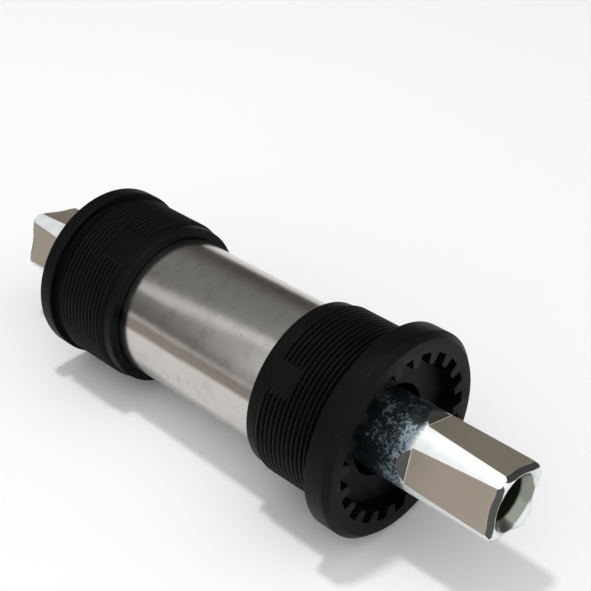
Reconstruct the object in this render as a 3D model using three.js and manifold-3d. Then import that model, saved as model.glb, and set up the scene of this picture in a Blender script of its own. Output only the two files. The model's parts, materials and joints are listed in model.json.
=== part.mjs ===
// Square-taper cartridge bottom bracket for a 73 mm threaded shell: a sealed steel cartridge with a ball
// bearing in each end, a spindle through both bearings, and two moulded cups pushed over its ends.
// Millimetres. The spindle lies along Y with its centre at the origin, the drive side is -Y, and +Z is up.
import * as THREE from "three";
import { mergeVertices } from "three/addons/utils/BufferGeometryUtils.js";
import Module from "manifold-3d";

const wasm = await Module();
wasm.setup();

// Spindle
const SPINDLE_LENGTH = 125;
const TAPER_END_R = 7.8; // round stock that the square taper is ground on
const SEAT_R = 8.5; // bearing seat
const COLLAR_R = 9.2; // thicker middle, which the inner rings butt against
const FLAT_AT_TIP = 6.35; // axis to flat at the tip
const TAPER_DEG = 2; // slope of each flat
const FLAT_FROM_TIP = 18; // where the flats end, from the tip
const RUNOUT_LENGTH = 2.5; // steep facet where the grinding wheel ran out
const TIP_CHAMFER = 1.15;
const SPINDLE_TURN_DEG = -14.5; // how far the flats stand turned at rest
const BOLT_BORE_R = 3.46; // core of the M8x1 crank-bolt thread
const BOLT_BORE_DEPTH = 22;
const COUNTERBORE_R = 4.2;
const COUNTERBORE_DEPTH = 5.6;
const COUNTERSINK_R = 5.4;
const COUNTERSINK_DEPTH = 3.8;

// Cartridge sleeve
const SLEEVE_R = 14.8;
const SLEEVE_BORE_R = 13.2;
const SLEEVE_ENDS = [-31, 37.4];
const SLEEVE_EDGE = 0.5;

// Bearings: 17 x 28 x 7 deep-groove, set back from the sleeve's ends
const BEARING_R = 14;
const BEARING_WIDTH = 7;
const BEARING_SETBACK = 1;
const BALL_R = 1.75;
const BALL_PITCH_R = 11.25;
const BALL_COUNT = 11;
const OUTER_LAND_R = 12.3;
const INNER_LAND_R = 10.2;
const SEAL_RECESS_R = 13.25;
const SEAL_THICKNESS = 0.7;
const SEAL_INSET = 0.1; // seal face behind the ring's face
const CAGE_R = [10.75, 11.75];
const CAGE_HALF_WIDTH = 2.35;
const CAGE_POCKET_R = 1.92;

// Cups, by side. Each is a threaded barrel with a toothed socket for the fitting tool in its outer face.
const THREAD_CREST_R = 17.4; // 1.37 in x 24 TPI
const LEAD_IN_R = 16.9;
const LEAD_IN_LENGTH = 2.1;
const CUP_BORE_R = 14.9;
const SOCKET_R = 14.6; // over the tips of the socket's teeth
const SOCKET_DEPTH = 3.6;
const WEB_THICKNESS = 2.4;
const WEB_HOLE_R = 9.1;
const NOTCH_COUNT = 20;
const NOTCH_ROOT_R = 16.8;
const NOTCH_WIDTH = 2.5;
const CUPS = {
  drive: { side: -1, face: 38.2, rimR: 20.5, rimWidth: 5.2, bevel: 1.1, innerEnd: 15.3 },
  left: { side: 1, face: 43.7, rimR: 18.1, rimWidth: 3.7, bevel: 0.7, innerEnd: 22.3 },
};

// Clearances and facet counts
const PRESS_GAP = 0.05;
const BALL_GAP = 0.1;
const SEAL_GAP = 0.15;
const BODY_SIDES = 48;
const BEARING_SIDES = 36;
const POCKET_SIDES = 12;

const material = (color, roughness, metalness) =>
  new THREE.MeshStandardMaterial({ color, roughness, metalness });
const MATERIALS = {
  cup: material(0x1b1c1f, 0.6, 0),
  sleeve: material(0xa59f98, 0.3, 1),
  spindle: material(0xb9bab4, 0.35, 1),
  ring: material(0xc6c8ca, 0.2, 1),
  ball: material(0xd4d6d8, 0.1, 1),
  cage: material(0x8e9093, 0.4, 1),
  seal: material(0x141414, 0.75, 0),
};

const radians = THREE.MathUtils.degToRad;
const group = new THREE.Group();

function addMesh(name, geometry, slot) {
  const mesh = new THREE.Mesh(geometry, MATERIALS[slot]);
  mesh.name = name;
  group.add(mesh);
  return mesh;
}

// Turns a profile of [radius, y] points about the Y axis. The profile runs with the solid on its left.
function lathe(points, sides) {
  return new THREE.LatheGeometry(points.map(([r, y]) => new THREE.Vector2(r, y)), sides);
}

// A ring's profile closes on itself.
function latheRing(points, sides) {
  return lathe([...points, points[0]], sides);
}

// Mirrors a profile to the other end and keeps its direction.
const mirrored = (points) => points.map(([r, y]) => [r, -y]).reverse();

// A whole profile from the half that starts at the middle.
const bothHalves = (half) => [...mirrored(half), ...half];

function toSolid(geometry) {
  const bare = geometry.clone();
  bare.deleteAttribute("normal");
  bare.deleteAttribute("uv");
  const merged = mergeVertices(bare, 1e-4);
  const corners = merged.index.array;
  const faces = [];
  for (let i = 0; i < corners.length; i += 3) {
    const [a, b, c] = [corners[i], corners[i + 1], corners[i + 2]];
    if (a !== b && b !== c && c !== a) faces.push(a, b, c);
  }
  return new wasm.Manifold(new wasm.Mesh({
    numProp: 3,
    vertProperties: new Float32Array(merged.attributes.position.array),
    triVerts: new Uint32Array(faces),
  }));
}

function toGeometry(solid) {
  const mesh = solid.getMesh();
  const geometry = new THREE.BufferGeometry();
  geometry.setAttribute("position", new THREE.BufferAttribute(new Float32Array(mesh.vertProperties), 3));
  geometry.setIndex(new THREE.BufferAttribute(new Uint32Array(mesh.triVerts), 1));
  return geometry;
}

// Cuts count copies of a tool out of a body, spaced evenly round the Y axis.
function cutRound(body, tool, count, startAngle = 0) {
  let cut = body;
  for (let i = 0; i < count; i++) {
    const turned = tool.clone().rotateY(startAngle + (2 * Math.PI * i) / count);
    cut = cut.subtract(toSolid(turned));
  }
  return cut;
}

// One end of the spindle, from its collar over the bearing seat to the tip, and down the bolt bore.
function spindleEnd(seatFrom) {
  const seatTo = seatFrom + BEARING_WIDTH + 0.3;
  const tip = SPINDLE_LENGTH / 2;
  const drillPoint = 1.6;
  return [
    [COLLAR_R, seatFrom],
    [SEAT_R, seatFrom],
    [SEAT_R, seatTo],
    [TAPER_END_R, seatTo + 0.4],
    [TAPER_END_R, tip - TIP_CHAMFER / 2],
    [TAPER_END_R - TIP_CHAMFER / 2, tip],
    [COUNTERSINK_R, tip],
    [COUNTERBORE_R, tip - COUNTERSINK_DEPTH],
    [COUNTERBORE_R, tip - COUNTERBORE_DEPTH],
    [BOLT_BORE_R, tip - COUNTERBORE_DEPTH],
    [BOLT_BORE_R, tip - BOLT_BORE_DEPTH],
    [0, tip - BOLT_BORE_DEPTH - drillPoint],
  ];
}

// The wedge that leaves one flat: its runout facet, the tapered flat and the chamfer at the tip.
function flatCutter() {
  const tip = SPINDLE_LENGTH / 2;
  const slope = Math.tan(radians(TAPER_DEG));
  const flatEnd = tip - FLAT_FROM_TIP;
  const chamferStart = tip - TIP_CHAMFER;
  const runout = RUNOUT_LENGTH + 0.8;
  const clear = 12;
  const outline = new THREE.Shape([
    new THREE.Vector2(TAPER_END_R + 0.3, flatEnd - runout),
    new THREE.Vector2(FLAT_AT_TIP + slope * FLAT_FROM_TIP, flatEnd),
    new THREE.Vector2(FLAT_AT_TIP + slope * TIP_CHAMFER, chamferStart),
    new THREE.Vector2(FLAT_AT_TIP - TIP_CHAMFER / 2, tip + 0.2),
    new THREE.Vector2(clear, tip + 0.2),
    new THREE.Vector2(clear, flatEnd - runout),
  ]);
  const wedge = new THREE.ExtrudeGeometry(outline, { depth: 2 * clear, bevelEnabled: false });
  return wedge.translate(0, 0, -clear);
}

function buildSpindle() {
  const [driveEnd, leftEnd] = SLEEVE_ENDS;
  const bearingDepth = BEARING_SETBACK + BEARING_WIDTH;
  const drive = mirrored(spindleEnd(-driveEnd - bearingDepth));
  const left = spindleEnd(leftEnd - bearingDepth);
  const body = toSolid(lathe([...drive, ...left], BEARING_SIDES));
  const turn = radians(SPINDLE_TURN_DEG);
  const wedge = flatCutter();
  const oneEndCut = cutRound(body, wedge, 4, -turn);
  const otherWedge = wedge.clone().rotateX(Math.PI);
  addMesh("spindle", toGeometry(cutRound(oneEndCut, otherWedge, 4, -turn)), "spindle");
}

function buildSleeve() {
  const [driveEnd, leftEnd] = SLEEVE_ENDS;
  const seatR = BEARING_R + PRESS_GAP;
  const seatDepth = BEARING_SETBACK + BEARING_WIDTH + PRESS_GAP;
  const profile = [
    [seatR, driveEnd],
    [SLEEVE_R - SLEEVE_EDGE, driveEnd],
    [SLEEVE_R, driveEnd + SLEEVE_EDGE],
    [SLEEVE_R, leftEnd - SLEEVE_EDGE],
    [SLEEVE_R - SLEEVE_EDGE, leftEnd],
    [seatR, leftEnd],
    [seatR, leftEnd - seatDepth],
    [SLEEVE_BORE_R, leftEnd - seatDepth],
    [SLEEVE_BORE_R, driveEnd + seatDepth],
    [seatR, driveEnd + seatDepth],
  ];
  addMesh("cartridge_sleeve", latheRing(profile, BODY_SIDES), "sleeve");
}

// Half of a ring's groove, from its bottom out to the land, clear of the balls by the ball gap.
function grooveHalf(bottomR, landR) {
  return [
    [bottomR, BALL_R * 0.46],
    [landR, BALL_R * 0.92],
  ];
}

function buildCage(name, centre) {
  const [inner, outer] = CAGE_R;
  const ring = toSolid(latheRing([
    [inner, -CAGE_HALF_WIDTH],
    [outer, -CAGE_HALF_WIDTH],
    [outer, CAGE_HALF_WIDTH],
    [inner, CAGE_HALF_WIDTH],
  ], BEARING_SIDES));
  const pocket = new THREE.CylinderGeometry(CAGE_POCKET_R, CAGE_POCKET_R, 4, POCKET_SIDES);
  pocket.rotateZ(Math.PI / 2).translate(BALL_PITCH_R, 0, 0);
  const cage = toGeometry(cutRound(ring, pocket, BALL_COUNT));
  addMesh(name, cage, "cage").position.y = centre;
}

function buildBearing(name, centre) {
  const half = BEARING_WIDTH / 2;
  const sealBack = half - SEAL_INSET - SEAL_THICKNESS;
  const outerHalf = [
    ...grooveHalf(BALL_PITCH_R + BALL_R + BALL_GAP, OUTER_LAND_R),
    [OUTER_LAND_R, sealBack - PRESS_GAP],
    [SEAL_RECESS_R, sealBack - PRESS_GAP],
    [SEAL_RECESS_R, half],
    [BEARING_R, half],
  ];
  const innerHalf = [
    ...grooveHalf(BALL_PITCH_R - BALL_R - BALL_GAP, INNER_LAND_R),
    [INNER_LAND_R, half],
    [SEAT_R + PRESS_GAP, half],
  ];
  const outerRing = bothHalves(outerHalf).reverse();
  const innerRing = bothHalves(innerHalf);
  addMesh(`${name}_outer_ring`, latheRing(outerRing, BEARING_SIDES), "ring").position.y = centre;
  addMesh(`${name}_inner_ring`, latheRing(innerRing, BEARING_SIDES), "ring").position.y = centre;

  const seal = [
    [INNER_LAND_R + SEAL_GAP, sealBack],
    [SEAL_RECESS_R - PRESS_GAP, sealBack],
    [SEAL_RECESS_R - PRESS_GAP, sealBack + SEAL_THICKNESS],
    [INNER_LAND_R + SEAL_GAP, sealBack + SEAL_THICKNESS],
  ];
  const outward = Math.sign(centre);
  for (const [place, side] of [["outer", outward], ["inner", -outward]]) {
    const profile = side > 0 ? seal : mirrored(seal);
    addMesh(`${name}_${place}_seal`, latheRing(profile, BEARING_SIDES), "seal").position.y = centre;
  }

  buildCage(`${name}_ball_cage`, centre);
  for (let i = 0; i < BALL_COUNT; i++) {
    const angle = (2 * Math.PI * i) / BALL_COUNT;
    const number = String(i + 1).padStart(2, "0");
    const ball = addMesh(`${name}_ball_${number}`, new THREE.IcosahedronGeometry(BALL_R, 1), "ball");
    ball.position.set(BALL_PITCH_R * Math.cos(angle), centre, -BALL_PITCH_R * Math.sin(angle));
  }
}

// A cup is drawn for +Y, with its outer face towards +Y, and mirrored for the drive side.
function buildCup(name, { side, face, rimR, rimWidth, bevel, innerEnd }) {
  const rimBack = face - rimWidth;
  const floor = face - SOCKET_DEPTH;
  const webBack = floor - WEB_THICKNESS;
  const edge = 0.4;
  const profile = [
    [CUP_BORE_R, innerEnd + edge / 2],
    [CUP_BORE_R + edge / 2, innerEnd],
    [LEAD_IN_R - edge, innerEnd],
    [LEAD_IN_R, innerEnd + edge],
    [LEAD_IN_R, innerEnd + LEAD_IN_LENGTH],
    [THREAD_CREST_R, innerEnd + LEAD_IN_LENGTH + THREAD_CREST_R - LEAD_IN_R],
    [THREAD_CREST_R, rimBack],
    [rimR, rimBack],
    [rimR, face - bevel],
    [rimR - bevel, face],
    [SOCKET_R, face],
    [SOCKET_R, floor],
    [WEB_HOLE_R, floor],
    [WEB_HOLE_R, webBack],
    [CUP_BORE_R, webBack],
  ];
  const turned = side > 0 ? profile : mirrored(profile);
  const body = toSolid(latheRing(turned, BODY_SIDES));
  const notchLength = NOTCH_ROOT_R - SOCKET_R + 1;
  const notch = new THREE.BoxGeometry(notchLength, SOCKET_DEPTH + 1, NOTCH_WIDTH);
  notch.translate(NOTCH_ROOT_R - notchLength / 2, side * (floor + (SOCKET_DEPTH + 1) / 2), 0);
  addMesh(name, toGeometry(cutRound(body, notch, NOTCH_COUNT)), "cup");
}

buildSpindle();
buildSleeve();
const bearingInset = BEARING_SETBACK + BEARING_WIDTH / 2;
buildBearing("drive", SLEEVE_ENDS[0] + bearingInset);
buildBearing("left", SLEEVE_ENDS[1] - bearingInset);
buildCup("drive_cup", CUPS.drive);
buildCup("left_cup", CUPS.left);

export default group;
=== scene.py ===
import json
import math
import bpy
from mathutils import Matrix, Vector


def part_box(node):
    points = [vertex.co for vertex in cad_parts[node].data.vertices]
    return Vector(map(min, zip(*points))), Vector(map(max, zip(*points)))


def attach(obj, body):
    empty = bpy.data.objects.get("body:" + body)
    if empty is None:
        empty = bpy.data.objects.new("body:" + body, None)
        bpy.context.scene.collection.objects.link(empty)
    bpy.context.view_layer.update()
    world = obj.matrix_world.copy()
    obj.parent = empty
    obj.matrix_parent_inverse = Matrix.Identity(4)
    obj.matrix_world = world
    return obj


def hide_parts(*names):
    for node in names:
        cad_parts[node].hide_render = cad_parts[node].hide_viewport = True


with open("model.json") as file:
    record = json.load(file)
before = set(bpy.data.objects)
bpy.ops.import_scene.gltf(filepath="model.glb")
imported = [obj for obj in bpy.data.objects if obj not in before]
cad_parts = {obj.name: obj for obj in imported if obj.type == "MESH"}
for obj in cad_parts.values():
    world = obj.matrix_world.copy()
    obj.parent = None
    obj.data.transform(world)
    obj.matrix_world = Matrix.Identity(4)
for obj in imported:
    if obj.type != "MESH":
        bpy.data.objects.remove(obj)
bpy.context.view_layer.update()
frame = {"nodes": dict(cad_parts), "record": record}

MM = 0.001
AXIS = (0, 1, 0)


# ---------- sizes read from the frame ----------

def outer_radius(node):
    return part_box(node)[1].x


def along(node):
    """Where a node starts and ends along the spindle."""
    low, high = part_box(node)
    return low.y, high.y


def distance_out(node):
    """The same span counted outwards from the spindle's middle, nearest end first."""
    return sorted(abs(y) for y in along(node))


# ---------- sizes that the solids leave out ----------

# Cups
CREST_R = 17.4 * MM
ROOT_R = 16.78 * MM
PITCH = 25.4 / 24 * MM
LEAD_IN_R = 16.85 * MM
LEAD_IN_LENGTH = 2.0 * MM
SOCKET_R = 14.6 * MM
SOCKET_DEPTH = 3.6 * MM
NOTCH_ROOT_R = 16.8 * MM
NOTCHES = 20
WEB_HOLE_R = 9.1 * MM
WEB_THICKNESS = 2.4 * MM
SLEEVE_GAP = 0.1 * MM         # between the tube and the cup's bore
GROOVE = 0.15 * MM            # depth of the groove behind the rim
BLANK_FADE = 5                # degrees over which a blank's lower edge rises back to the full thread

# Spindle
SPINDLE_STEPS = 160
SEAT_R = 8.5 * MM
TAPER_R = 7.8 * MM
TIP_FLAT = 6.35 * MM
TAPER_SLOPE = math.tan(math.radians(2))
FLAT_FROM_TIP = 18.0 * MM
RUNOUT = 2.5 * MM
TIP_CHAMFER = 1.15 * MM
CHAMFER_SLOPE = 0.55
TIP_EDGE = 0.55 * MM
RIM_WIDTH = 0.25 * MM
RIM_DIP = 0.5                 # how far the rim drops, against how far the countersink is cut short
EVEN_AGAIN = 8.0 * MM         # past the run-outs, the length over which the columns even out
RUNOUT_RISE = 0.9 * MM
FLAT_TURN = math.radians(-14.5)
BOLT_BORE_R = 4.0 * MM
BOLT_CORE_R = 3.5 * MM
BOLT_PITCH = 1.0 * MM
BOLT_BORE_DEPTH = 22.0 * MM
COUNTERBORE_R = 4.25 * MM
COUNTERBORE_DEPTH = 4.4 * MM
COUNTERSINK_R = 6.1 * MM
COUNTERSINK_DEPTH = 2.2 * MM

# Cartridge
SLEEVE_BORE_R = 13.2 * MM
PRESS_GAP = 0.03 * MM
LIP_GAP = 0.06 * MM

FINE_STEPS = 240
PLAIN_STEPS = 144
FILLET_STEPS = 4
MERGE = 1e-7


# ---------- modelling ----------

def deselect():
    bpy.ops.object.select_all(action="DESELECT")


def make_active(piece):
    deselect()
    piece.select_set(True)
    bpy.context.view_layer.objects.active = piece


def rounded(corners):
    """Outline points from corners (radius, distance, fillet), each fillet a short curve."""
    outline = []
    for i, (radius, distance, fillet) in enumerate(corners):
        corner = Vector((radius, distance))
        if not fillet:
            outline.append(corner)
            continue
        before = Vector(corners[i - 1][:2]) - corner
        after = Vector(corners[(i + 1) % len(corners)][:2]) - corner
        reach = fillet / math.tan(before.angle(after) / 2)
        start = corner + before.normalized() * reach
        end = corner + after.normalized() * reach
        for step in range(FILLET_STEPS + 1):
            t = step / FILLET_STEPS
            outline.append(start * (1 - t) ** 2 + corner * 2 * t * (1 - t) + end * t ** 2)
    return outline


def draw(name, outline):
    """A closed loop of edges, with the radius along X and the distance along Y."""
    deselect()
    bpy.ops.mesh.primitive_circle_add(vertices=len(outline), radius=MM)
    piece = bpy.context.object
    piece.name = name
    for vertex, (radius, distance) in zip(piece.data.vertices, outline):
        vertex.co = (radius, distance, 0)
    return piece


def close_up(piece):
    """Merges doubles, drops loose edges and turns the faces outwards."""
    make_active(piece)
    bpy.ops.object.mode_set(mode="EDIT")
    bpy.ops.mesh.select_all(action="SELECT")
    bpy.ops.mesh.remove_doubles(threshold=MERGE)
    bpy.ops.mesh.delete_loose(use_verts=True, use_edges=True, use_faces=False)
    bpy.ops.mesh.select_all(action="SELECT")
    bpy.ops.mesh.normals_make_consistent(inside=False)
    bpy.ops.object.mode_set(mode="OBJECT")


def turned(name, outline, steps=PLAIN_STEPS):
    """An outline spun once about the spindle's axis."""
    piece = draw(name, outline)
    make_active(piece)
    bpy.ops.object.mode_set(mode="EDIT")
    bpy.ops.mesh.select_all(action="SELECT")
    bpy.ops.mesh.spin(steps=steps, angle=math.tau, center=(0, 0, 0), axis=AXIS)
    bpy.ops.object.mode_set(mode="OBJECT")
    close_up(piece)
    return piece


def finish_modifier(piece, kind, **settings):
    make_active(piece)
    modifier = piece.modifiers.new(kind.lower(), kind)
    for name, value in settings.items():
        setattr(modifier, name, value)
    bpy.ops.object.modifier_apply(modifier=modifier.name)


def soften(piece, width, above=35, segments=2):
    """Breaks every edge sharper than the given angle, as a tool or a mould does."""
    finish_modifier(piece, "BEVEL", width=width, segments=segments, limit_method="ANGLE",
                    angle_limit=math.radians(above), harden_normals=False)


def smooth(piece, angle=30):
    make_active(piece)
    bpy.ops.object.shade_smooth_by_angle(angle=math.radians(angle))


def join(piece, *others):
    deselect()
    for other in others:
        other.select_set(True)
    piece.select_set(True)
    bpy.context.view_layer.objects.active = piece
    bpy.ops.object.join()
    return piece


def mirror_along(piece):
    """Turns a piece drawn for the left end into one for the drive end."""
    make_active(piece)
    bpy.ops.object.mode_set(mode="EDIT")
    bpy.ops.mesh.select_all(action="SELECT")
    bpy.ops.transform.resize(value=(1, -1, 1), center_override=(0, 0, 0))
    bpy.ops.mesh.normals_make_consistent(inside=False)
    bpy.ops.object.mode_set(mode="OBJECT")


def turn_about_axis(piece, angle):
    """Turns a mesh about the spindle's axis, from forward towards up."""
    for vertex in piece.data.vertices:
        x, z = vertex.co.x, vertex.co.z
        vertex.co.x = x * math.cos(angle) - z * math.sin(angle)
        vertex.co.z = x * math.sin(angle) + z * math.cos(angle)


def polar(point):
    """Distance from the axis, and the angle from forward (+X) towards up (+Z) in degrees."""
    return math.hypot(point.x, point.z), math.degrees(math.atan2(point.z, point.x)) % 360


def helix(name, section, pitch, turns, steps):
    """A closed section (radius, distance) wound into a right-hand helix towards +Y, with closed ends."""
    piece = draw(name, section)
    finish_modifier(piece, "SCREW", axis="Y", angle=math.tau, screw_offset=pitch, iterations=turns,
                    steps=steps, render_steps=steps, use_merge_vertices=False)
    make_active(piece)
    bpy.ops.object.mode_set(mode="EDIT")
    bpy.ops.mesh.select_all(action="SELECT")
    bpy.ops.mesh.fill_holes(sides=0)
    bpy.ops.mesh.select_all(action="SELECT")
    bpy.ops.mesh.normals_make_consistent(inside=False)
    bpy.ops.object.mode_set(mode="OBJECT")
    return piece


def fit(piece, node, material):
    """Puts a finished piece in a CAD node's place."""
    piece.data.materials.clear()
    piece.data.materials.append(material)
    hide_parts(node)
    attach(piece, body_of(node))


def body_of(node):
    bodies = frame["record"]["behaviour"]["bodies"]
    return next(body for body, nodes in bodies.items() if node in nodes)


# ---------- shader maths ----------

class Value:
    """A number that varies over a surface. Python arithmetic on it adds Math nodes."""

    def __init__(self, graph, socket):
        self.graph = graph
        self.socket = socket

    def math(self, operation, *others):
        inputs = dict(enumerate((self, *others)))
        return self.graph.value("Math", {"operation": operation}, inputs)

    def __add__(self, other):
        return self.math("ADD", other)

    def __sub__(self, other):
        return self.math("SUBTRACT", other)

    def __mul__(self, other):
        return self.math("MULTIPLY", other)

    def __truediv__(self, other):
        return self.math("DIVIDE", other)

    def __pow__(self, other):
        return self.math("POWER", other)

    def __abs__(self):
        return self.math("ABSOLUTE")

    __radd__ = __add__
    __rmul__ = __mul__

    def __rsub__(self, other):
        return self.graph.value("Math", {"operation": "SUBTRACT"}, {0: other, 1: self})

    def ramp(self, low, high):
        """0 below low, 1 above high, smooth between. With low above high it falls instead."""
        settings = {"interpolation_type": "SMOOTHSTEP"}
        inputs = {"Value": self, "From Min": low, "From Max": high}
        return self.graph.value("MapRange", settings, inputs)


class Graph:
    """The nodes of one tree. node() adds any node, and its settings and inputs come as plain values."""

    def __init__(self, tree):
        self.tree = tree

    def node(self, kind, settings=None, inputs=None):
        node = self.tree.nodes.new("ShaderNode" + kind)
        for name, value in (settings or {}).items():
            setattr(node, name, value)
        for name, value in (inputs or {}).items():
            self.feed(node.inputs[name], value)
        return node

    def feed(self, socket, value):
        if isinstance(value, Value):
            value = value.socket
        if isinstance(value, bpy.types.NodeSocket):
            self.tree.links.new(value, socket)
        else:
            socket.default_value = value

    def value(self, kind, settings=None, inputs=None, output=0):
        return Value(self, self.node(kind, settings, inputs).outputs[output])

    def mix(self, mask, colour_a, colour_b):
        """colour_a where mask is 0, colour_b where it is 1."""
        node = self.node("Mix", {"data_type": "RGBA"})
        self.feed(node.inputs[0], mask)
        self.feed(node.inputs[6], rgba(colour_a))
        self.feed(node.inputs[7], rgba(colour_b))
        return node.outputs[2]


class Finish(Graph):
    """One material on a Principled shader. Its constants are set on the shader's own sockets."""

    def __init__(self, name, **constants):
        self.material = bpy.data.materials.new(name)
        self.material.use_nodes = True
        super().__init__(self.material.node_tree)
        self.shader = self.tree.nodes["Principled BSDF"]
        for socket, value in constants.items():
            self.shader.inputs[socket.replace("_", " ")].default_value = value
        self.place = self.node("TexCoord").outputs["Object"]
        split = self.node("SeparateXYZ", {}, {"Vector": self.place})
        self.x, self.y, self.z = (Value(self, out) for out in split.outputs)

    def radius(self):
        return (self.x * self.x + self.z * self.z) ** 0.5

    def noise(self, size, detail=3.0, rough=0.5, place=None):
        """Noise whose features are about size metres across."""
        inputs = {"Vector": place or self.place, "Scale": 1 / size, "Detail": detail, "Roughness": rough}
        return self.value("TexNoise", {}, inputs)

    def stretched(self, x, y, z):
        return self.node("Mapping", {}, {"Vector": self.place, "Scale": (x, y, z)}).outputs[0]

    def specks(self, size, share):
        """1 on small round specks, 0 elsewhere; share is how much of each cell a speck fills."""
        inputs = {"Vector": self.place, "Scale": 1 / size}
        cells = self.value("TexVoronoi", {"feature": "F1"}, inputs, "Distance")
        return cells.ramp(share, share * 0.6)

    def set(self, socket, value):
        self.feed(self.shader.inputs[socket], value)

    def bump(self, height, depth):
        """Raises the surface by height, which runs from 0 to 1, times depth metres."""
        inputs = {"Height": height, "Distance": depth, "Strength": 1.0}
        self.set("Normal", self.node("Bump", {}, inputs).outputs["Normal"])


def rgba(colour):
    return (*colour, 1.0) if isinstance(colour, tuple) and len(colour) == 3 else colour


# ---------- finishes ----------

def moulded_plastic():
    finish = Finish("moulded_plastic", Specular_IOR_Level=0.09)
    cloud = finish.noise(6 * MM)
    grain = finish.noise(0.22 * MM, detail=4)
    dust = finish.specks(1.1 * MM, 0.06)
    base = finish.mix(cloud, (0.001, 0.001, 0.0012), (0.003, 0.003, 0.0034))
    finish.set("Base Color", finish.mix(dust * 0.6, base, (0.16, 0.16, 0.17)))
    finish.set("Roughness", 0.36 + cloud * 0.12 + grain * 0.10)
    finish.bump(grain, 0.014 * MM)
    return finish.material


def ground_steel():
    """A ground tube, lightly stained, with a dark brown band painted low on its rear side as the reflection
    of a dark surround.
    """
    finish = Finish("ground_steel", Metallic=1.0)
    rings = finish.noise(1.0, detail=4, rough=0.7, place=finish.stretched(30, 9000, 30))
    cloud = finish.noise(9 * MM)
    pits = finish.specks(3.1 * MM, 0.05)
    stain = finish.noise(3 * MM, detail=6, rough=0.7).ramp(0.48, 0.72)
    base = finish.mix(cloud, (0.50, 0.48, 0.45), (0.62, 0.60, 0.57))
    height = finish.z / finish.radius() + (cloud - 0.5) * 0.05
    # painted reflection: a dark brown band along the tube, low on its rear side, standing for a dark
    # surround mirrored in the steel
    painted_reflection_band = height.ramp(0.18, 0.26) * height.ramp(0.44, 0.34) * finish.x.ramp(MM, -MM)
    base = finish.mix(stain * 0.3, base, (0.28, 0.23, 0.18))
    base = finish.mix(painted_reflection_band * 0.72, base, (0.10, 0.07, 0.045))
    finish.set("Base Color", finish.mix(pits, base, (0.16, 0.14, 0.12)))
    finish.set("Roughness", 0.15 + rings * 0.10 + pits * 0.3)
    finish.bump(rings - pits * 0.6, 0.002 * MM)
    return finish.material


def spindle_steel():
    """Zinc on the corners and the end, bare ground steel on the flats, duller run-outs and chamfers,
    and a frosty dark patina by the cups."""
    finish = Finish("spindle_steel")
    turn_x = finish.x * math.cos(FLAT_TURN) + finish.z * math.sin(FLAT_TURN)
    turn_z = finish.z * math.cos(FLAT_TURN) - finish.x * math.sin(FLAT_TURN)
    reach = abs(turn_x).math("MAXIMUM", abs(turn_z))
    from_tip = along("spindle")[1] - abs(finish.y)
    above_flat = reach - (TIP_FLAT + from_tip * TAPER_SLOPE)

    on_flat = above_flat.ramp(0.06 * MM, 0.03 * MM) * above_flat.ramp(-0.08 * MM, -0.03 * MM)
    on_flat = on_flat * from_tip.ramp(FLAT_FROM_TIP, FLAT_FROM_TIP - 0.1 * MM)
    cut = finish.radius().ramp(TAPER_R - 0.04 * MM, TAPER_R - 0.12 * MM)
    runout = cut * from_tip.ramp(FLAT_FROM_TIP, FLAT_FROM_TIP + 0.1 * MM)
    runout = runout * from_tip.ramp(FLAT_FROM_TIP + RUNOUT, FLAT_FROM_TIP + RUNOUT - 0.2 * MM)
    chamfer = cut * above_flat.ramp(-0.03 * MM, -0.08 * MM)
    chamfer = chamfer * reach.ramp(5.6 * MM, 5.7 * MM) * from_tip.ramp(2.2 * MM, 2.1 * MM)
    dull = runout.math("MAXIMUM", chamfer)
    mouth = finish.radius().ramp(COUNTERSINK_R - 0.35 * MM, COUNTERSINK_R - 0.6 * MM)
    bore = finish.radius().ramp(COUNTERBORE_R + 0.3 * MM, COUNTERBORE_R)

    patchy = finish.noise(0.7 * MM, detail=6, rough=0.75)
    drift = finish.noise(5 * MM, detail=2)
    edge = from_tip + (patchy - 0.5) * 3 * MM
    shoulder = edge.ramp(FLAT_FROM_TIP - 0.2 * MM, FLAT_FROM_TIP + 1.2 * MM)
    near_flat = edge.ramp(FLAT_FROM_TIP + 12 * MM, FLAT_FROM_TIP + 1 * MM)
    frost = (patchy + drift * 0.5 + near_flat * 0.08).ramp(0.80, 1.00) * shoulder

    zinc = finish.mix(finish.noise(2 * MM), (0.64, 0.68, 0.67), (0.86, 0.89, 0.88))
    patina = finish.mix(frost, (0.006, 0.011, 0.014), (0.26, 0.34, 0.38))
    steel = finish.mix(finish.noise(4 * MM), (0.30, 0.26, 0.205), (0.34, 0.295, 0.24))
    colour = finish.mix(shoulder, zinc, patina)
    colour = finish.mix(dull, colour, (0.08, 0.08, 0.075))
    colour = finish.mix(mouth, colour, (0.24, 0.26, 0.22))
    colour = finish.mix(bore, colour, (0.09, 0.10, 0.07))
    finish.set("Base Color", finish.mix(on_flat, colour, steel))
    finish.set("Metallic", 0.45 - shoulder * 0.1 + on_flat * 0.2 + dull * 0.4 + mouth * 0.5)
    finish.set("Roughness", 0.46 - on_flat * 0.03 - mouth * 0.22)
    finish.bump(patchy, 0.012 * MM)
    return finish.material


def polished_steel():
    finish = Finish("polished_steel", Metallic=1.0)
    rings = finish.noise(1.0, detail=3, place=finish.stretched(6000, 60, 6000))
    finish.set("Base Color", finish.mix(finish.noise(3 * MM), (0.60, 0.60, 0.61), (0.72, 0.72, 0.73)))
    finish.set("Roughness", 0.12 + rings * 0.10)
    return finish.material


def seal_rubber():
    finish = Finish("seal_rubber", IOR=1.5)
    grain = finish.noise(0.3 * MM, detail=4)
    finish.set("Base Color", finish.mix(grain, (0.006, 0.006, 0.007), (0.016, 0.016, 0.017)))
    finish.set("Roughness", 0.45 + grain * 0.2)
    finish.bump(grain, 0.01 * MM)
    return finish.material


# ---------- cups ----------

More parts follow.
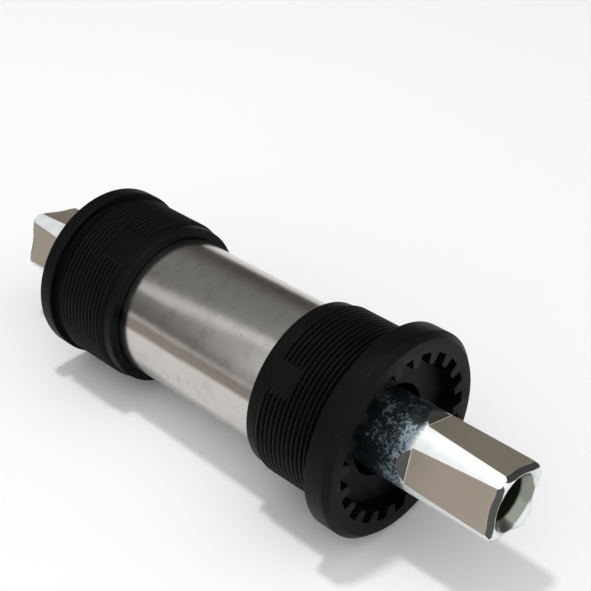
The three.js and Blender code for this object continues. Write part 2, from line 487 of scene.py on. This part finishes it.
def cup_outline(inner_end, face, rim_r, rim_width, bevel, relief):
    """The cup's section, drawn for the left end: outer face towards +Y, from the bore outwards."""
    rim_back = face - rim_width
    floor = face - SOCKET_DEPTH
    bore = outer_radius("cartridge_sleeve") + SLEEVE_GAP
    return rounded([
        (bore, inner_end, 0.25 * MM),
        (LEAD_IN_R, inner_end, 0.35 * MM),
        (LEAD_IN_R, inner_end + LEAD_IN_LENGTH, 0),
        (ROOT_R, inner_end + LEAD_IN_LENGTH + 0.1 * MM, 0),
        (ROOT_R, rim_back - relief, 0),
        (ROOT_R - GROOVE, rim_back - relief + 0.1 * MM, 0),
        (ROOT_R - GROOVE, rim_back, 0.15 * MM),
        (rim_r, rim_back, 0.2 * MM),
        (rim_r, face - bevel, 0.12 * MM),
        (rim_r - bevel, face, 0.12 * MM),
        (SOCKET_R, face, 0),
        (SOCKET_R, floor, 0),
        (WEB_HOLE_R, floor, 0.35 * MM),
        (WEB_HOLE_R, floor - WEB_THICKNESS, 0.3 * MM),
        (bore, floor - WEB_THICKNESS, 0),
    ])


def cut_notches(cup, face):
    """Pushes the socket's wall outwards in even steps, which leaves the teeth for the fitting tool."""
    pitch = 360 / NOTCHES
    make_active(cup)
    bpy.ops.object.mode_set(mode="EDIT")
    bpy.ops.mesh.select_mode(type="VERT")
    bpy.ops.mesh.select_all(action="DESELECT")
    bpy.ops.object.mode_set(mode="OBJECT")
    for vertex in cup.data.vertices:
        radius, angle = polar(vertex.co)
        on_wall = abs(radius - SOCKET_R) < 0.01 * MM and vertex.co.y > face - SOCKET_DEPTH - MM
        from_middle = abs((angle + pitch / 2) % pitch - pitch / 2)
        in_notch = from_middle < pitch * 0.26
        vertex.select = on_wall and in_notch
    bpy.ops.object.mode_set(mode="EDIT")
    widen = NOTCH_ROOT_R / SOCKET_R
    bpy.ops.transform.resize(value=(widen, 1, widen), center_override=(0, 0, 0))
    bpy.ops.object.mode_set(mode="OBJECT")


def thread_ridge(start, turns, blank):
    """The thread as a wound ridge that sinks into the barrel at its ends and at the mould's blank patch.
    The patch is (lower angle, upper angle, distance out at which it ends)."""
    half = PITCH / 2
    sunk = ROOT_R - 0.25 * MM
    section = [
        (sunk, start - half * 0.96),
        (ROOT_R, start - half * 0.92),
        (CREST_R - 0.04 * MM, start - half * 0.34),
        (CREST_R, start - half * 0.22),
        (CREST_R, start + half * 0.22),
        (CREST_R - 0.04 * MM, start + half * 0.34),
        (ROOT_R, start + half * 0.92),
        (sunk, start + half * 0.96),
    ]
    ridge = helix("thread_ridge", section, PITCH, turns, FINE_STEPS)
    end = start + turns * PITCH
    run_out = 1.05 * PITCH
    low, high, blank_end = blank
    for vertex in ridge.data.vertices:
        radius, angle = polar(vertex.co)
        distance = vertex.co.y
        height = min(1, (distance - start + half) / run_out, (end + half - distance) / run_out)
        if distance < blank_end:
            inside = min(max(angle - low, 0), max((high - angle) / BLANK_FADE, 0), 1)
            height = min(height, 1 - inside)
        height = max(height, 0)
        wanted = sunk + (radius - sunk) * height
        vertex.co.x *= wanted / radius
        vertex.co.z *= wanted / radius
    return ridge


def make_cup(node, rim_width, bevel, relief, blank, material):
    inner_end, face = distance_out(node)
    outline = cup_outline(inner_end, face, outer_radius(node), rim_width, bevel, relief)
    cup = turned(node + "_shell", outline, FINE_STEPS)
    cut_notches(cup, face)
    soften(cup, 0.14 * MM, above=40)
    start = inner_end + LEAD_IN_LENGTH + PITCH / 2
    turns = int((face - rim_width - relief - start) / PITCH)
    join(cup, thread_ridge(start, turns, blank))
    if along(node)[0] < 0:
        mirror_along(cup)
    smooth(cup, 32)
    fit(cup, node, material)


# ---------- spindle ----------

def flat_height(from_tip):
    """How far a flat lies from the axis. It rises steeply where the grinding wheel ran out."""
    if from_tip < TIP_CHAMFER:
        edge = TIP_FLAT + TIP_CHAMFER * TAPER_SLOPE
        return edge - (TIP_CHAMFER - from_tip) * CHAMFER_SLOPE
    if from_tip < FLAT_FROM_TIP:
        return TIP_FLAT + from_tip * TAPER_SLOPE
    rise = (from_tip - FLAT_FROM_TIP) * RUNOUT_RISE / RUNOUT
    return TIP_FLAT + FLAT_FROM_TIP * TAPER_SLOPE + rise


def flat_spread(from_tip, usual):
    """How far round the flat's edge lies. Past the flat, the columns drift back to even spacing."""
    past = (from_tip - FLAT_FROM_TIP - RUNOUT) / EVEN_AGAIN
    if past > 0:
        return usual * min(1, 0.5 + 0.5 * past)
    return max(math.acos(min(1, flat_height(from_tip) / TAPER_R)), usual * 0.5)


def press_flats(piece, tip):
    """Moves the turned surface onto the four flats of each taper, with whole columns on their edges.
    The rim drops between the corners, where the countersink cuts into the flats."""
    quarter = math.pi / 2
    column_edge = quarter * 0.3
    last = FLAT_FROM_TIP + RUNOUT + EVEN_AGAIN
    for vertex in piece.data.vertices:
        turned_r = math.hypot(vertex.co.x, vertex.co.z)
        from_tip = tip - abs(vertex.co.y)
        if turned_r < COUNTERSINK_R - 0.05 * MM or from_tip > last:
            continue
        flat_edge = flat_spread(from_tip, column_edge)
        angle = math.atan2(vertex.co.z, vertex.co.x)
        nearest = round(angle / quarter) * quarter
        column = angle - nearest
        if abs(column) <= column_edge:
            column *= flat_edge / column_edge
        else:
            past = (abs(column) - column_edge) / (quarter / 2 - column_edge)
            column = math.copysign(flat_edge + past * (quarter / 2 - flat_edge), column)
        radius = min(turned_r, flat_height(from_tip) / math.cos(column))
        if from_tip < TIP_CHAMFER + 0.01 * MM:
            mouth_r = min(COUNTERSINK_R, flat_height(0) / math.cos(column) - RIM_WIDTH)
            if turned_r < COUNTERSINK_R + 0.05 * MM:
                radius = mouth_r
            dip = (COUNTERSINK_R - mouth_r) * RIM_DIP
            vertex.co.y -= math.copysign(dip, vertex.co.y)
        vertex.co.x = radius * math.cos(nearest + column)
        vertex.co.z = radius * math.sin(nearest + column)


def rings_between(radius, start, end, count):
    """Extra outline points, so that the turned surface has rings to press."""
    return [(radius, start + (end - start) * i / count) for i in range(1, count)]


def spindle_end_outline(tip, collar_r, seat_from, seat_to):
    """From the collar outwards over the bearing's seat and the taper to the tip, then down the bolt hole."""
    flat_end = tip - FLAT_FROM_TIP
    runout_end = flat_end - RUNOUT * 1.2
    return [
        (collar_r, seat_from - 0.5 * MM),
        (collar_r - 0.3 * MM, seat_from),
        (SEAT_R, seat_from),
        (SEAT_R, seat_to),
        (TAPER_R, seat_to + 0.5 * MM),
        *rings_between(TAPER_R, seat_to + 0.5 * MM, runout_end, 9),
        (TAPER_R, runout_end),
        *rings_between(TAPER_R, runout_end, flat_end, 14),
        (TAPER_R, flat_end),
        *rings_between(TAPER_R, flat_end, tip - TIP_CHAMFER, 10),
        (TAPER_R, tip - TIP_CHAMFER),
        (TAPER_R, tip - TIP_EDGE),
        (TAPER_R - TIP_EDGE * 0.8, tip),
        (COUNTERSINK_R, tip),
        (COUNTERBORE_R, tip - COUNTERSINK_DEPTH),
        (COUNTERBORE_R, tip - COUNTERBORE_DEPTH),
        (BOLT_BORE_R, tip - COUNTERBORE_DEPTH - 0.2 * MM),
        (BOLT_BORE_R, tip - BOLT_BORE_DEPTH),
        (0, tip - BOLT_BORE_DEPTH - 1.8 * MM),
    ]


def bolt_thread(tip):
    """The crank-bolt thread, standing inwards from the bore."""
    half = BOLT_PITCH / 2
    start = tip - BOLT_BORE_DEPTH + 2 * MM
    turns = int((tip - COUNTERBORE_DEPTH - 0.8 * MM - start) / BOLT_PITCH)
    section = [
        (BOLT_BORE_R + 0.2 * MM, start - half * 0.9),
        (BOLT_BORE_R, start - half * 0.85),
        (BOLT_CORE_R, start - half * 0.2),
        (BOLT_CORE_R, start + half * 0.2),
        (BOLT_BORE_R, start + half * 0.85),
        (BOLT_BORE_R + 0.2 * MM, start + half * 0.9),
    ]
    return helix("bolt_thread", section, BOLT_PITCH, turns, 72)


def make_spindle(material):
    tip = along("spindle")[1]
    collar_r = outer_radius("spindle")
    ends = []
    for ring in ("left_inner_ring", "drive_inner_ring"):
        near, far = distance_out(ring)
        ends.append(spindle_end_outline(tip, collar_r, near, far + 0.3 * MM))
    left, drive = ends
    outline = [(radius, -distance) for radius, distance in reversed(drive)] + left
    spindle = turned("spindle_shaft", outline, SPINDLE_STEPS)
    press_flats(spindle, tip)
    turn_about_axis(spindle, FLAT_TURN)
    soften(spindle, 0.10 * MM, above=17)
    threads = [bolt_thread(tip), bolt_thread(tip)]
    mirror_along(threads[1])
    turn_about_axis(threads[1], 0.4)
    join(spindle, *threads)
    smooth(spindle, 24)
    fit(spindle, "spindle", material)


# ---------- cartridge ----------

def make_sleeve(material):
    start, end = along("cartridge_sleeve")
    radius = outer_radius("cartridge_sleeve")
    seat_r = outer_radius("drive_outer_ring") + PRESS_GAP
    drive_step = along("drive_outer_ring")[1]
    left_step = along("left_outer_ring")[0]
    sleeve = turned("cartridge_sleeve_tube", rounded([
        (seat_r, start, 0.1 * MM),
        (radius, start, 0.45 * MM),
        (radius, end, 0.45 * MM),
        (seat_r, end, 0.1 * MM),
        (seat_r, left_step, 0),
        (SLEEVE_BORE_R, left_step, 0),
        (SLEEVE_BORE_R, drive_step, 0),
        (seat_r, drive_step, 0),
    ]), FINE_STEPS)
    smooth(sleeve, 30)
    fit(sleeve, "cartridge_sleeve", material)


def make_seal(node, material):
    """A moulded seal: a stepped disc with a lip on the inner ring."""
    low, high = along(node)
    middle = (low + high) / 2
    outward = math.copysign(1, middle) * (1 if "outer" in node else -1)
    back = middle - outward * (high - low) / 2
    thick = (high - low) * outward
    inner_r = outer_radius(node.split("_")[0] + "_inner_ring") + LIP_GAP
    outer_r = outer_radius(node)
    seal = turned(node + "_disc", rounded([
        (inner_r, back, 0),
        (outer_r, back, 0),
        (outer_r, back + thick, 0.08 * MM),
        (outer_r - 0.6 * MM, back + thick, 0.08 * MM),
        (outer_r - 0.7 * MM, back + thick * 0.75, 0),
        (inner_r + 0.9 * MM, back + thick * 0.75, 0),
        (inner_r + 0.7 * MM, back + thick * 0.95, 0.05 * MM),
        (inner_r, back + thick * 0.95, 0.08 * MM),
    ]))
    smooth(seal, 30)
    fit(seal, node, material)


# ---------- build ----------

plastic = moulded_plastic()
sleeve_finish = ground_steel()
spindle_finish = spindle_steel()
polished = polished_steel()
rubber = seal_rubber()

make_cup("drive_cup", rim_width=5.2 * MM, bevel=1.1 * MM, relief=0.9 * MM,
         blank=(127.7, 150, 23.0 * MM), material=plastic)
make_cup("left_cup", rim_width=3.7 * MM, bevel=0.7 * MM, relief=1.0 * MM,
         blank=(101, 129, 31.4 * MM), material=plastic)
make_spindle(spindle_finish)
make_sleeve(sleeve_finish)
for side in ("drive", "left"):
    make_seal(side + "_outer_seal", rubber)
    make_seal(side + "_inner_seal", rubber)

for name, node in frame["nodes"].items():        # rings, balls and cages keep the shape of the solids
    if "ring" in name or "ball" in name:
        node.data.materials.clear()
        node.data.materials.append(polished)


# ---------- floor, light and camera ----------

def look_at(thing, target):
    thing.rotation_euler = (Vector(target) - thing.location).to_track_quat("-Z", "Y").to_euler()


def add_area(name, place, target, size, power):
    light = bpy.data.lights.new(name, "AREA")
    light.shape = "RECTANGLE"
    light.size, light.size_y = size
    light.energy = power
    lamp = bpy.data.objects.new(name, light)
    bpy.context.scene.collection.objects.link(lamp)
    lamp.location = place
    look_at(lamp, target)


def add_floor():
    """The part lies on its flange and on its left rim, so the floor slopes a little against its axis."""
    flange_r, rim_r = outer_radius("drive_cup"), outer_radius("left_cup")
    flange_y = along("drive_cup")[0] + 2 * MM
    rim_y = along("left_cup")[1] - 2 * MM
    slope = math.atan2(flange_r - rim_r, rim_y - flange_y)
    deselect()
    bpy.ops.mesh.primitive_plane_add(size=6, location=(0, flange_y, -flange_r), rotation=(slope, 0, 0))
    floor = bpy.context.object
    floor.name = "floor"
    paper = Finish("pale_paper", Roughness=0.9)
    paper.set("Base Color", paper.mix(paper.noise(0.3), (0.86, 0.86, 0.87), (0.88, 0.88, 0.89)))
    floor.data.materials.append(paper.material)


def add_camera():
    """Azimuth is counted from the drive end, towards the rear."""
    azimuth, elevation = math.radians(-46.52), math.radians(33.95)
    distance, right_shift, up_shift = 249.0 * MM, 8.48 * MM, 10.72 * MM
    back = Vector((math.sin(azimuth) * math.cos(elevation), -math.cos(azimuth) * math.cos(elevation),
                   math.sin(elevation)))
    right = Vector((math.cos(azimuth), math.sin(azimuth), 0))
    up = back.cross(right)
    lens = bpy.data.cameras.new("camera")
    lens.lens = 78.0
    lens.sensor_width = 36
    lens.clip_start = 0.01
    camera = bpy.data.objects.new("camera", lens)
    bpy.context.scene.collection.objects.link(camera)
    camera.location = back * distance + right * right_shift + up * up_shift
    camera.rotation_euler = back.to_track_quat("Z", "Y").to_euler()
    bpy.context.scene.camera = camera


def add_light():
    """Soft light from in front, dimmer behind and low down, with a small key light overhead and a strip."""
    world = bpy.data.worlds.new("studio")
    world.use_nodes = True
    bpy.context.scene.world = world
    sky = Graph(world.node_tree)
    direction = sky.node("TexCoord").outputs["Generated"]
    dot = {"operation": "DOT_PRODUCT"}
    height = sky.value("VectorMath", dot, {0: direction, 1: (-0.19, 0, 0.98)}, "Value")
    front = sky.value("VectorMath", dot, {0: direction, 1: (-0.55, -0.75, 0.35)}, "Value")
    colour = sky.mix(height.ramp(0.1, 0.6), (0.10, 0.09, 0.08), (0.25, 0.25, 0.24))
    colour = sky.mix(front.ramp(0.0, 0.4), colour, (1.25, 1.25, 1.25))
    sky.feed(world.node_tree.nodes["Background"].inputs["Color"], colour)
    add_area("key", (-0.05, 0.05, 0.6), (0, 0, 0), (0.05, 0.05), 1.3)
    add_area("strip", (-0.24, 0.34, 0.43), (0, 0, 0), (0.1, 0.4), 0.08)


add_floor()
add_light()
add_camera()
bpy.context.scene.view_settings.view_transform = "Standard"
